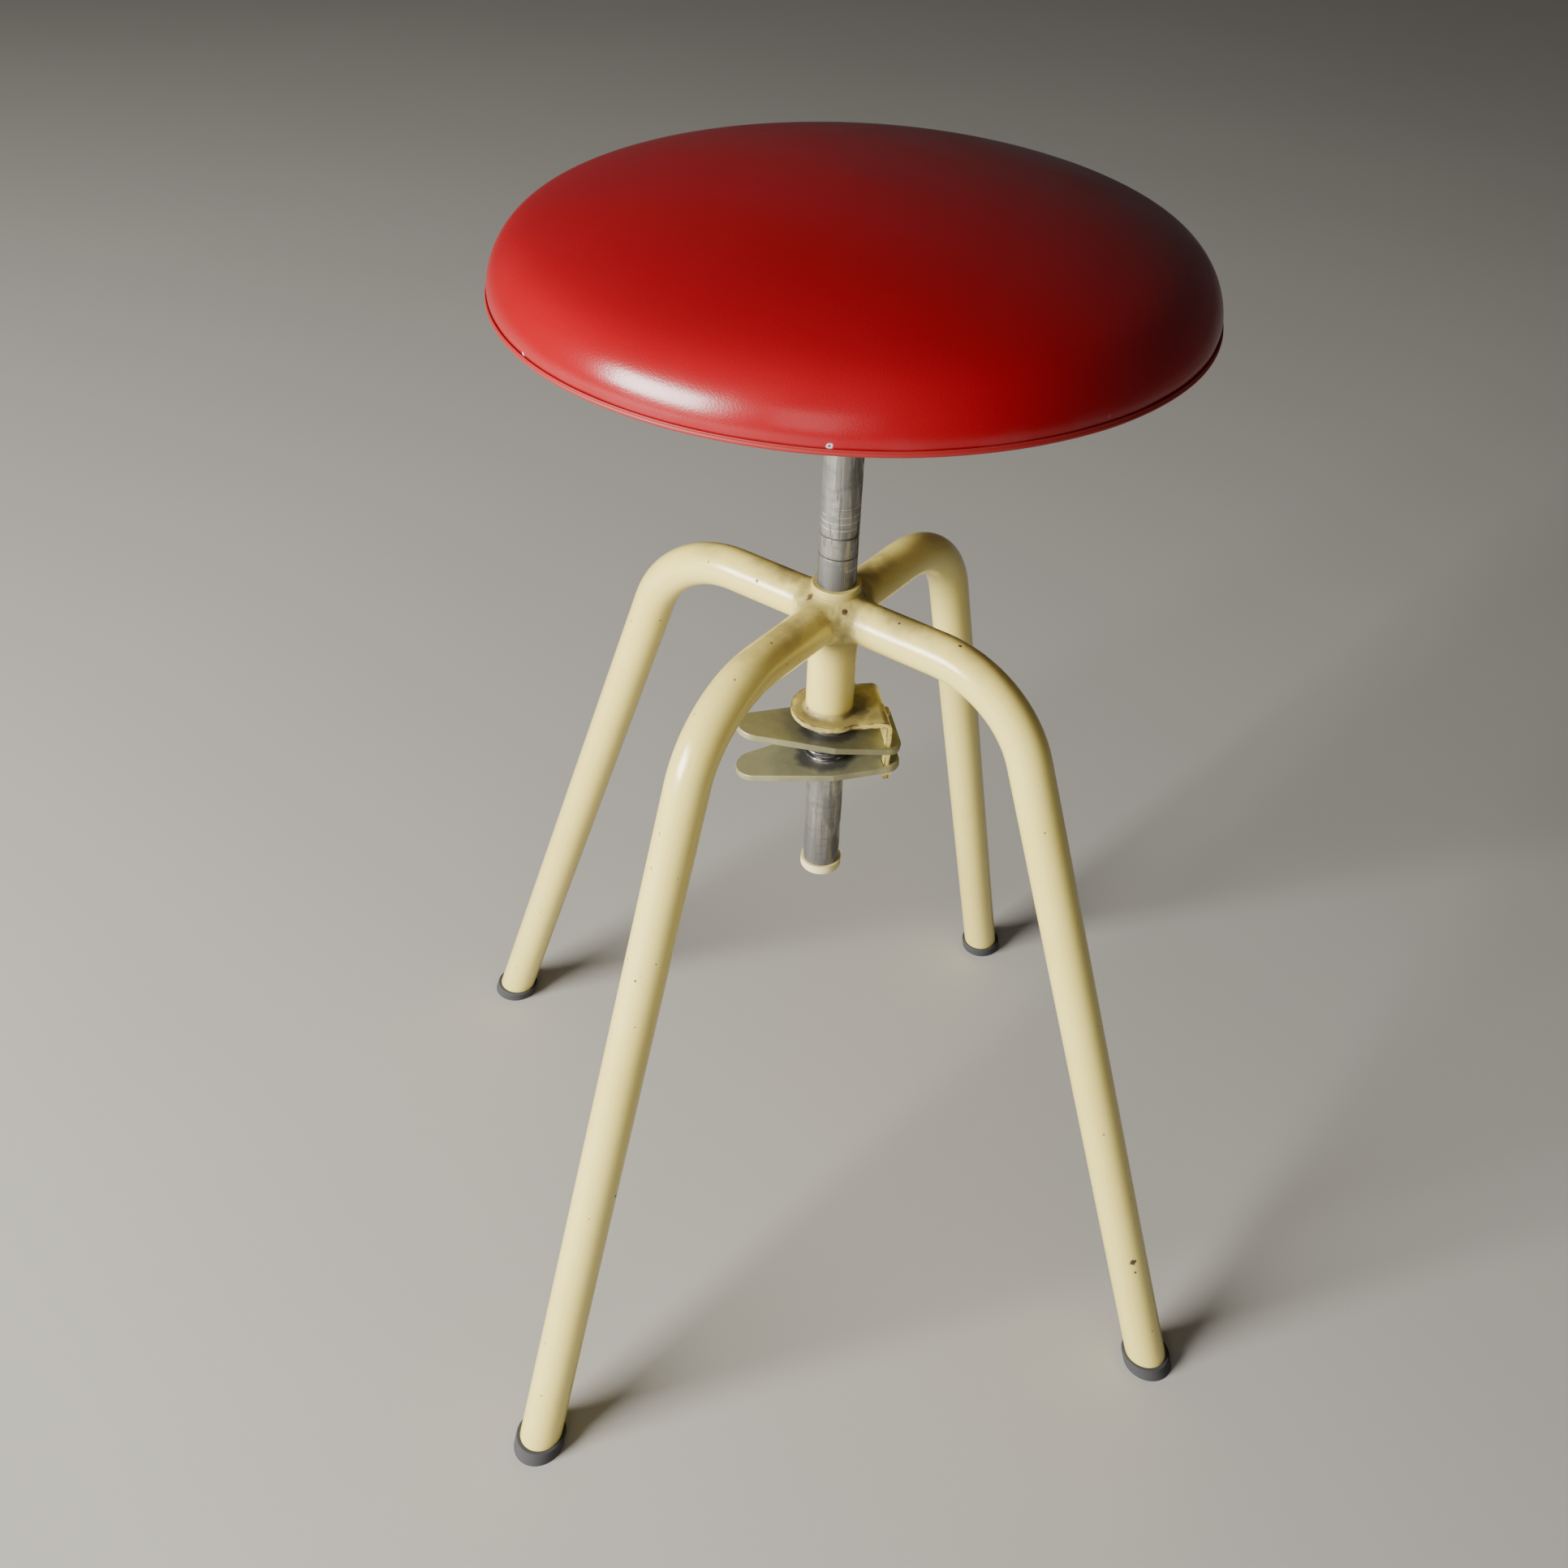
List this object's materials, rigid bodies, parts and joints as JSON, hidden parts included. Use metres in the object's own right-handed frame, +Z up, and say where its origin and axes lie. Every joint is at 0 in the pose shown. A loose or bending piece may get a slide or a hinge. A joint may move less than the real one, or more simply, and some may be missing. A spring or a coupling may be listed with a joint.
{
  "type": "adjustable round work stool",
  "caption": "Backless round stool: padded vinyl seat on a sliding post, held in a four-legged tube frame by two friction levers that are squeezed to release it.",
  "frame": {"origin": "on the floor under the post's axis", "axes": "+Z up along the post; +X towards the clamp bracket's prongs, so the levers' free ends point to -X; the legs stand at 45 degrees to X and Y"},
  "size_m": [0.4283, 0.4176, 0.7113],
  "materials": {
    "frame_paint": "semi-gloss cream enamel, grimy and chipped near the hub",
    "foot_rubber": "dull, dusty",
    "zinc_plate": "yellow zinc plating, dulled and greasy round the post",
    "spring_steel": "dark oiled spring wire",
    "post_steel": "worn bright steel with bite rings and stains",
    "cap_plastic": "satin cream plastic",
    "fastener_steel": "zinc plated",
    "plywood": "raw birch plywood",
    "foam": "open-cell foam",
    "vinyl": "satin red vinyl with a fine grain",
    "welt_vinyl": "darker red vinyl welt"
  },
  "bodies": {
    "stand": {"centre_sleeve": "frame_paint", "leg_front_left": "frame_paint", "leg_front_right": "frame_paint", "leg_back_right": "frame_paint", "leg_back_left": "frame_paint", "foot_front_left": "foot_rubber", "foot_front_right": "foot_rubber", "foot_back_right": "foot_rubber", "foot_back_left": "foot_rubber", "clamp_bracket": "frame_paint", "clamp_spring": "spring_steel"},
    "upper_lever": {"upper_clamp_lever": "zinc_plate"},
    "lower_lever": {"lower_clamp_lever": "zinc_plate"},
    "height_carrier": {"post_end_cap": "cap_plastic"},
    "seat_and_post": {"seat_post": "post_steel", "seat_plate": "frame_paint", "seat_screws": "fastener_steel", "seat_board": "plywood", "seat_foam": "foam", "seat_cover": "vinyl", "cover_bead": "welt_vinyl", "cover_staples": "fastener_steel"}
  },
  "joints": [
    {"name": "height_slide", "type": "slide", "parent": "stand", "child": "height_carrier", "axis": [0, 0, 1], "range_m": [-0.165, 0.073]},
    {"name": "seat_swivel", "type": "hinge", "parent": "height_carrier", "child": "seat_and_post", "pos_m": [0, 0, 0.43], "axis": [0, 0, 1], "continuous": true},
    {"name": "upper_lever_hinge", "type": "hinge", "parent": "stand", "child": "upper_lever", "pos_m": [0.0322, 0, 0.37994], "axis": [0, -1, 0], "range_deg": [0, 6], "stiffness_Nm_per_rad": 4, "springref_deg": -17.19, "deforming": ["clamp_spring"]},
    {"name": "lower_lever_hinge", "type": "hinge", "parent": "stand", "child": "lower_lever", "pos_m": [0.0322, 0, 0.36654], "axis": [0, 1, 0], "range_deg": [0, 6], "stiffness_Nm_per_rad": 4, "springref_deg": -17.19}
  ],
  "couplings": [
    {"joint": "lower_lever_hinge", "follows": "upper_lever_hinge", "ratio": 1}
  ]
}
